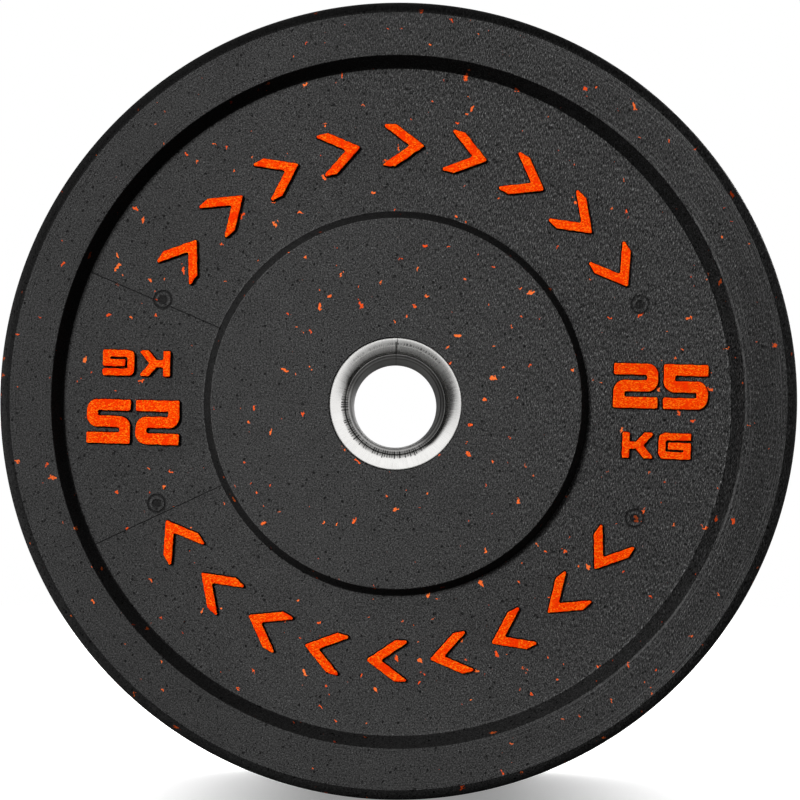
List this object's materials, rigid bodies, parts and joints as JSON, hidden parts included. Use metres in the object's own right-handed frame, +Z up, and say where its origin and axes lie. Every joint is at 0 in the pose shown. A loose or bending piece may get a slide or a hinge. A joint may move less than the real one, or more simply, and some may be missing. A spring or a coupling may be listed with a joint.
{
  "type": "bumper plate",
  "caption": "Round crumb-rubber weight plate with a raised rim and hub, raised orange weight marks and a flared steel insert for a 50 mm barbell sleeve.",
  "frame": {"origin": "the plate's centre, on its axis and halfway between its two faces", "axes": "+Z up with the plate standing on its tread, Y along the plate's axis with the front face towards -Y, +X to the right as seen from the front"},
  "size_m": [0.45, 0.11, 0.45],
  "materials": {
    "crumb_rubber": "matte bonded crumb rubber with fine grain, black pits and sparse orange flecks",
    "mark_rubber": "matte granular orange rubber",
    "insert_steel": "turned and wiped steel",
    "anchor_steel": "plain mild steel, hidden in the rubber"
  },
  "bodies": {
    "root": {"rubber_body": "crumb_rubber", "hub_tube": "insert_steel", "front_flare_collar": "insert_steel", "rear_flare_collar": "insert_steel", "front_anchor_ring": "anchor_steel", "rear_anchor_ring": "anchor_steel", "front_numeral_2_right": "mark_rubber", "front_numeral_5_right": "mark_rubber", "front_letter_k_right": "mark_rubber", "front_letter_g_right": "mark_rubber", "front_numeral_2_left": "mark_rubber", "front_numeral_5_left": "mark_rubber", "front_letter_k_left": "mark_rubber", "front_letter_g_left": "mark_rubber", "front_chevron_upper_1": "mark_rubber", "front_chevron_upper_2": "mark_rubber", "front_chevron_upper_3": "mark_rubber", "front_chevron_upper_4": "mark_rubber", "front_chevron_upper_5": "mark_rubber", "front_chevron_upper_6": "mark_rubber", "front_chevron_upper_7": "mark_rubber", "front_chevron_upper_8": "mark_rubber", "front_chevron_upper_9": "mark_rubber", "front_chevron_lower_1": "mark_rubber", "front_chevron_lower_2": "mark_rubber", "front_chevron_lower_3": "mark_rubber", "front_chevron_lower_4": "mark_rubber", "front_chevron_lower_5": "mark_rubber", "front_chevron_lower_6": "mark_rubber", "front_chevron_lower_7": "mark_rubber", "front_chevron_lower_8": "mark_rubber", "front_chevron_lower_9": "mark_rubber", "rear_numeral_2_right": "mark_rubber", "rear_numeral_5_right": "mark_rubber", "rear_letter_k_right": "mark_rubber", "rear_letter_g_right": "mark_rubber", "rear_numeral_2_left": "mark_rubber", "rear_numeral_5_left": "mark_rubber", "rear_letter_k_left": "mark_rubber", "rear_letter_g_left": "mark_rubber", "rear_chevron_upper_1": "mark_rubber", "rear_chevron_upper_2": "mark_rubber", "rear_chevron_upper_3": "mark_rubber", "rear_chevron_upper_4": "mark_rubber", "rear_chevron_upper_5": "mark_rubber", "rear_chevron_upper_6": "mark_rubber", "rear_chevron_upper_7": "mark_rubber", "rear_chevron_upper_8": "mark_rubber", "rear_chevron_upper_9": "mark_rubber", "rear_chevron_lower_1": "mark_rubber", "rear_chevron_lower_2": "mark_rubber", "rear_chevron_lower_3": "mark_rubber", "rear_chevron_lower_4": "mark_rubber", "rear_chevron_lower_5": "mark_rubber", "rear_chevron_lower_6": "mark_rubber", "rear_chevron_lower_7": "mark_rubber", "rear_chevron_lower_8": "mark_rubber", "rear_chevron_lower_9": "mark_rubber"}
  },
  "joints": []
}
